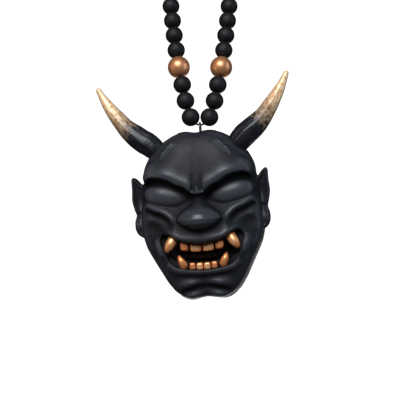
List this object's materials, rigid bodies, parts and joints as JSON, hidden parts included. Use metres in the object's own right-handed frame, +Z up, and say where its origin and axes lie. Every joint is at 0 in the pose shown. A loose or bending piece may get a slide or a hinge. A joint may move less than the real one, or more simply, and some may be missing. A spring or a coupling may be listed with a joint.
{
  "type": "noh mask pendant",
  "caption": "Small black horned demon noh mask with copper teeth, hollow behind, hanging by a screw eye from a looped strand of black and copper beads.",
  "frame": {"origin": "inside top of the bead arch, where a peg holds the loop", "axes": "+Z up, +X to the viewer's right, the face looks towards -Y; the mask hangs turned 6 degrees and rolled 4.5 degrees"},
  "size_m": [0.0861, 0.052, 0.159],
  "materials": {
    "black_resin": "satin cast resin",
    "horn_copper": "resin dry-brushed with copper paint",
    "tooth_copper": "copper paint, satin",
    "mouth_black": "matte black resin",
    "tongue_dark": "satin dark resin",
    "eye_metal": "darkened metal",
    "black_bead": "matte black",
    "pearl_copper": "pearly metallic coating",
    "cord": "waxed cord"
  },
  "bodies": {
    "strand": {"bead_cord": "cord", "cord_knot": "cord"},
    "mask": {"mask_shell": "black_resin", "mouth_insert": "mouth_black", "horn_right": "horn_copper", "horn_left": "horn_copper", "upper_incisor_right_1": "tooth_copper", "upper_incisor_right_2": "tooth_copper", "upper_fang_right": "tooth_copper", "upper_incisor_left_1": "tooth_copper", "upper_incisor_left_2": "tooth_copper", "upper_fang_left": "tooth_copper", "lower_incisor_right_1": "tooth_copper", "lower_incisor_right_2": "tooth_copper", "lower_fang_right": "tooth_copper", "lower_incisor_left_1": "tooth_copper", "lower_incisor_left_2": "tooth_copper", "lower_fang_left": "tooth_copper", "tongue": "tongue_dark", "screw_eye": "eye_metal"},
    "black_bead_right_0_body": {"black_bead_right_0": "black_bead"},
    "black_bead_left_0_body": {"black_bead_left_0": "black_bead"},
    "black_bead_right_1_body": {"black_bead_right_1": "black_bead"},
    "black_bead_left_1_body": {"black_bead_left_1": "black_bead"},
    "black_bead_right_2_body": {"black_bead_right_2": "black_bead"},
    "black_bead_left_2_body": {"black_bead_left_2": "black_bead"},
    "copper_bead_right_3_body": {"copper_bead_right_3": "pearl_copper"},
    "copper_bead_left_3_body": {"copper_bead_left_3": "pearl_copper"},
    "black_bead_right_4_body": {"black_bead_right_4": "black_bead"},
    "black_bead_left_4_body": {"black_bead_left_4": "black_bead"},
    "black_bead_right_5_body": {"black_bead_right_5": "black_bead"},
    "black_bead_left_5_body": {"black_bead_left_5": "black_bead"},
    "black_bead_right_6_body": {"black_bead_right_6": "black_bead"},
    "black_bead_left_6_body": {"black_bead_left_6": "black_bead"},
    "black_bead_right_7_body": {"black_bead_right_7": "black_bead"},
    "black_bead_left_7_body": {"black_bead_left_7": "black_bead"},
    "black_bead_right_8_body": {"black_bead_right_8": "black_bead"},
    "black_bead_left_8_body": {"black_bead_left_8": "black_bead"},
    "black_bead_right_9_body": {"black_bead_right_9": "black_bead"},
    "black_bead_left_9_body": {"black_bead_left_9": "black_bead"},
    "black_bead_right_10_body": {"black_bead_right_10": "black_bead"},
    "black_bead_left_10_body": {"black_bead_left_10": "black_bead"}
  },
  "joints": [
    {"name": "mask_swing", "type": "hinge", "parent": "strand", "child": "mask", "pos_m": [0, -0.03216, -0.07276], "axis": [1, 0, 0], "range_deg": [-40, 30]},
    {"name": "black_bead_right_0_spin", "type": "hinge", "parent": "strand", "child": "black_bead_right_0_body", "pos_m": [0.00416, -0.03143, -0.06931], "axis": [0.4067, 0.1899, 0.8936], "continuous": true},
    {"name": "black_bead_left_0_spin", "type": "hinge", "parent": "strand", "child": "black_bead_left_0_body", "pos_m": [-0.00416, -0.03143, -0.06931], "axis": [-0.4067, 0.1899, 0.8936], "continuous": true},
    {"name": "black_bead_right_1_spin", "type": "hinge", "parent": "strand", "child": "black_bead_right_1_body", "pos_m": [0.00647, -0.02929, -0.06183], "axis": [0.1564, 0.3297, 0.931], "continuous": true},
    {"name": "black_bead_left_1_spin", "type": "hinge", "parent": "strand", "child": "black_bead_left_1_body", "pos_m": [-0.00647, -0.02929, -0.06183], "axis": [-0.1564, 0.3297, 0.931], "continuous": true},
    {"name": "black_bead_right_2_spin", "type": "hinge", "parent": "strand", "child": "black_bead_right_2_body", "pos_m": [0.00796, -0.02641, -0.05431], "axis": [0.2079, 0.3743, 0.9037], "continuous": true},
    {"name": "black_bead_left_2_spin", "type": "hinge", "parent": "strand", "child": "black_bead_left_2_body", "pos_m": [-0.00796, -0.02641, -0.05431], "axis": [-0.2079, 0.3743, 0.9037], "continuous": true},
    {"name": "copper_bead_right_3_spin", "type": "hinge", "parent": "strand", "child": "copper_bead_right_3_body", "pos_m": [0.00957, -0.02285, -0.04598], "axis": [0.1478, 0.3975, 0.9056], "continuous": true},
    {"name": "copper_bead_left_3_spin", "type": "hinge", "parent": "strand", "child": "copper_bead_left_3_body", "pos_m": [-0.00957, -0.02285, -0.04598], "axis": [-0.1478, 0.3975, 0.9056], "continuous": true},
    {"name": "black_bead_right_4_spin", "type": "hinge", "parent": "strand", "child": "black_bead_right_4_body", "pos_m": [0.01086, -0.01915, -0.03766], "axis": [0.1305, 0.4061, 0.9045], "continuous": true},
    {"name": "black_bead_left_4_spin", "type": "hinge", "parent": "strand", "child": "black_bead_left_4_body", "pos_m": [-0.01086, -0.01915, -0.03766], "axis": [-0.1305, 0.4061, 0.9045], "continuous": true},
    {"name": "black_bead_right_5_spin", "type": "hinge", "parent": "strand", "child": "black_bead_right_5_body", "pos_m": [0.01186, -0.01581, -0.03024], "axis": [0.1132, 0.41, 0.905], "continuous": true},
    {"name": "black_bead_left_5_spin", "type": "hinge", "parent": "strand", "child": "black_bead_left_5_body", "pos_m": [-0.01186, -0.01581, -0.03024], "axis": [-0.1132, 0.41, 0.905], "continuous": true},
    {"name": "black_bead_right_6_spin", "type": "hinge", "parent": "strand", "child": "black_bead_right_6_body", "pos_m": [0.01275, -0.01244, -0.02281], "axis": [0.1045, 0.4116, 0.9053], "continuous": true},
    {"name": "black_bead_left_6_spin", "type": "hinge", "parent": "strand", "child": "black_bead_left_6_body", "pos_m": [-0.01275, -0.01244, -0.02281], "axis": [-0.1045, 0.4116, 0.9053], "continuous": true},
    {"name": "black_bead_right_7_spin", "type": "hinge", "parent": "strand", "child": "black_bead_right_7_body", "pos_m": [0.01357, -0.00906, -0.01539], "axis": [0.0958, 0.4125, 0.9059], "continuous": true},
    {"name": "black_bead_left_7_spin", "type": "hinge", "parent": "strand", "child": "black_bead_left_7_body", "pos_m": [-0.01357, -0.00906, -0.01539], "axis": [-0.0958, 0.4125, 0.9059], "continuous": true},
    {"name": "black_bead_right_8_spin", "type": "hinge", "parent": "strand", "child": "black_bead_right_8_body", "pos_m": [0.01375, -0.00567, -0.00795], "axis": [-0.0523, 0.414, 0.9088], "continuous": true},
    {"name": "black_bead_left_8_spin", "type": "hinge", "parent": "strand", "child": "black_bead_left_8_body", "pos_m": [-0.01375, -0.00567, -0.00795], "axis": [0.0523, 0.414, 0.9088], "continuous": true},
    {"name": "black_bead_right_9_spin", "type": "hinge", "parent": "strand", "child": "black_bead_right_9_body", "pos_m": [0.01143, -0.0024, -0.00076], "axis": [-0.4848, 0.3627, 0.7959], "continuous": true},
    {"name": "black_bead_left_9_spin", "type": "hinge", "parent": "strand", "child": "black_bead_left_9_body", "pos_m": [-0.01143, -0.0024, -0.00076], "axis": [0.4848, 0.3627, 0.7959], "continuous": true},
    {"name": "black_bead_right_10_spin", "type": "hinge", "parent": "strand", "child": "black_bead_right_10_body", "pos_m": [0.00544, 0, 0.0045], "axis": [-0.891, 0.1883, 0.4131], "continuous": true},
    {"name": "black_bead_left_10_spin", "type": "hinge", "parent": "strand", "child": "black_bead_left_10_body", "pos_m": [-0.00544, 0, 0.0045], "axis": [0.891, 0.1883, 0.4131], "continuous": true}
  ]
}
